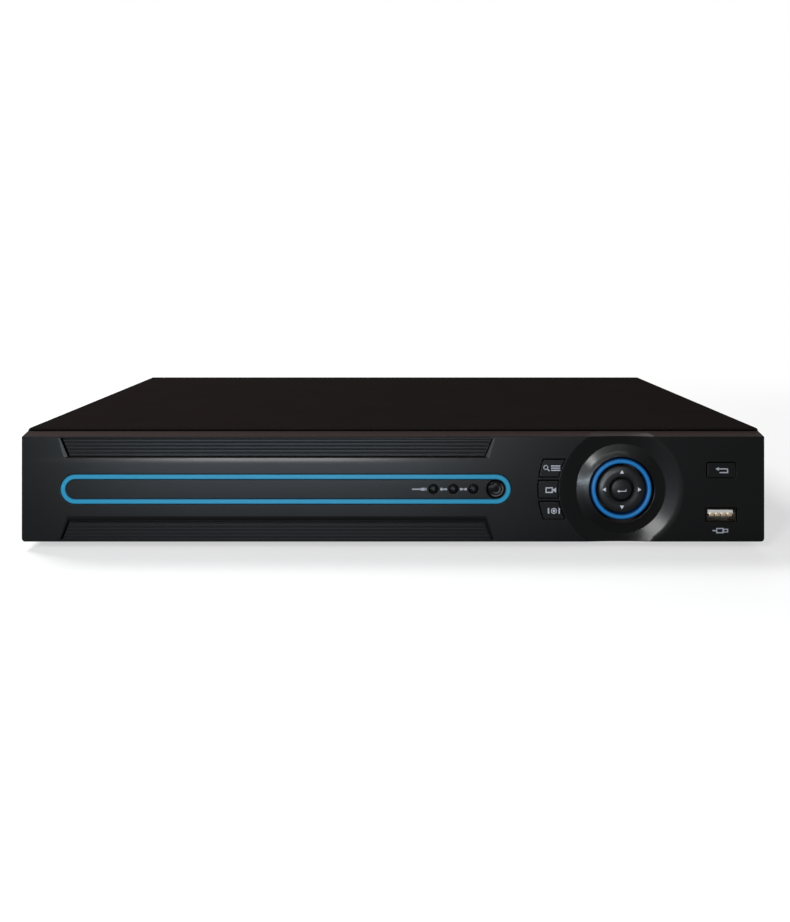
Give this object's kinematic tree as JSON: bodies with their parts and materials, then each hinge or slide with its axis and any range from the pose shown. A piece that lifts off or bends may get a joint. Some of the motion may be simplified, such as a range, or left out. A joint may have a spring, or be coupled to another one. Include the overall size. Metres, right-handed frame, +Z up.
{
  "type": "video recorder",
  "caption": "Flat video recorder: steel case, moulded front with light strip, dial with four-way rocker, keys and data socket; drive, fan and rear sockets.",
  "frame": {"origin": "on the floor under the middle of the bounding box", "axes": "+X to the right seen from the front, +Y to the rear (the front faces -Y), +Z up"},
  "size_m": [0.325, 0.2558, 0.0523],
  "materials": {
    "tray_steel": "satin",
    "rear_paint": "satin",
    "cover_paint": "satin",
    "bezel_plastic": "satin",
    "trim_plastic": "ribbed satin",
    "light_lens": "translucent blue",
    "dark_lens": "gloss",
    "key_plastic": "satin",
    "gimbal_plastic": "satin",
    "foot_rubber": "matte",
    "bright_screws": "plated",
    "black_screws": "black oxide",
    "board_green": "solder mask",
    "drive_board_blue": "solder mask",
    "switch_grey": "matte",
    "lamp_lens": "clear",
    "receiver_dark": "gloss",
    "socket_nickel": "nickel plated",
    "tongue_plastic": "satin",
    "cable_grey": "matte",
    "standoff_brass": "turned",
    "chip_black": "matte",
    "sink_black": "black anodised",
    "can_sleeve": "sleeved",
    "holder_black": "matte",
    "cell_steel": "bright",
    "housing_black": "satin",
    "contact_gold": "gold plated",
    "audio_white": "satin",
    "insert_blue": "satin",
    "terminal_green": "satin",
    "drive_cast": "cast",
    "drive_sheet": "stamped",
    "platter_bright": "polished",
    "mark_print": "printed",
    "lead_red": "satin"
  },
  "bodies": {
    "case": {"base_tray": "tray_steel", "rear_panel": "rear_paint", "top_cover": "cover_paint", "front_bezel": "bezel_plastic", "upper_grille": "trim_plastic", "lower_grille": "trim_plastic", "light_strip": "light_lens", "ring_light": "light_lens", "status_lenses": "dark_lens", "ir_window": "dark_lens", "rubber_feet": "foot_rubber", "foot_screws": "bright_screws", "inner_screws": "bright_screws", "cover_screws": "black_screws", "fan_screws": "black_screws", "front_board": "board_green", "main_board": "board_green", "drive_board": "drive_board_blue", "push_switches": "switch_grey", "status_lamps": "lamp_lens", "ir_receiver": "receiver_dark", "front_data_shell": "socket_nickel", "rear_data_shell": "socket_nickel", "video_barrels": "socket_nickel", "audio_barrels": "socket_nickel", "monitor_shell": "socket_nickel", "jack_posts": "socket_nickel", "network_jack": "socket_nickel", "front_data_tongue": "tongue_plastic", "rear_data_tongue": "tongue_plastic", "ribbon_cable": "cable_grey", "board_standoffs": "standoff_brass", "processor": "chip_black", "board_chips": "chip_black", "heat_sink": "sink_black", "capacitors": "can_sleeve", "cell_holder": "holder_black", "clock_cell": "cell_steel", "video_housing": "housing_black", "power_inlet": "housing_black", "switch_housing": "housing_black", "fan_frame": "housing_black", "rear_contacts": "contact_gold", "audio_housing": "audio_white", "monitor_insert": "insert_blue", "terminal_block": "terminal_green", "drive_casting": "drive_cast", "drive_lid": "drive_sheet", "drive_leads": "lead_red"},
    "upper_key": {"upper_key": "key_plastic"},
    "middle_key": {"middle_key": "key_plastic"},
    "lower_key": {"lower_key": "key_plastic"},
    "back_key": {"back_key": "key_plastic"},
    "enter_button": {"enter_button": "key_plastic"},
    "rocker_gimbal": {"rocker_gimbal": "gimbal_plastic"},
    "rocker_ring": {"rocker_ring": "key_plastic"},
    "fan_rotor": {"fan_rotor": "housing_black"},
    "power_rocker": {"power_rocker": "housing_black"},
    "drive_platter": {"drive_platter": "platter_bright"},
    "drive_actuator": {"drive_actuator": "platter_bright"}
  },
  "joints": [
    {"name": "upper_key_press", "type": "slide", "parent": "case", "child": "upper_key", "axis": [0, 1, 0], "range_m": [0, 0.0008], "stiffness_N_per_m": 1500},
    {"name": "middle_key_press", "type": "slide", "parent": "case", "child": "middle_key", "axis": [0, 1, 0], "range_m": [0, 0.0008], "stiffness_N_per_m": 1500},
    {"name": "lower_key_press", "type": "slide", "parent": "case", "child": "lower_key", "axis": [0, 1, 0], "range_m": [0, 0.0008], "stiffness_N_per_m": 1500},
    {"name": "back_key_press", "type": "slide", "parent": "case", "child": "back_key", "axis": [0, 1, 0], "range_m": [0, 0.0008], "stiffness_N_per_m": 1500},
    {"name": "enter_button_press", "type": "slide", "parent": "case", "child": "enter_button", "axis": [0, 1, 0], "range_m": [0, 0.0008], "stiffness_N_per_m": 1500},
    {"name": "rocker_sideways", "type": "hinge", "parent": "case", "child": "rocker_gimbal", "pos_m": [0.1, -0.1207, 0.0265], "axis": [0, 0, 1], "range_deg": [-2.5, 2.5], "stiffness_Nm_per_rad": 0.23},
    {"name": "rocker_up_down", "type": "hinge", "parent": "rocker_gimbal", "child": "rocker_ring", "pos_m": [0.1, -0.1207, 0.0265], "axis": [1, 0, 0], "range_deg": [-2.5, 2.5], "stiffness_Nm_per_rad": 0.23},
    {"name": "fan_spin", "type": "hinge", "parent": "case", "child": "fan_rotor", "pos_m": [-0.1283, 0.1089, 0.0267], "axis": [0, 1, 0], "continuous": true},
    {"name": "power_toggle", "type": "hinge", "parent": "case", "child": "power_rocker", "pos_m": [-0.0942, 0.1129, 0.0285], "axis": [1, 0, 0], "range_deg": [-20, 0]},
    {"name": "platter_spin", "type": "hinge", "parent": "case", "child": "drive_platter", "pos_m": [-0.1035, -0.0459, 0.0207], "axis": [0, 0, 1], "continuous": true},
    {"name": "actuator_swing", "type": "hinge", "parent": "case", "child": "drive_actuator", "pos_m": [-0.04147, -0.06965, 0.0207], "axis": [0, 0, 1], "range_deg": [0, 28]}
  ]
}
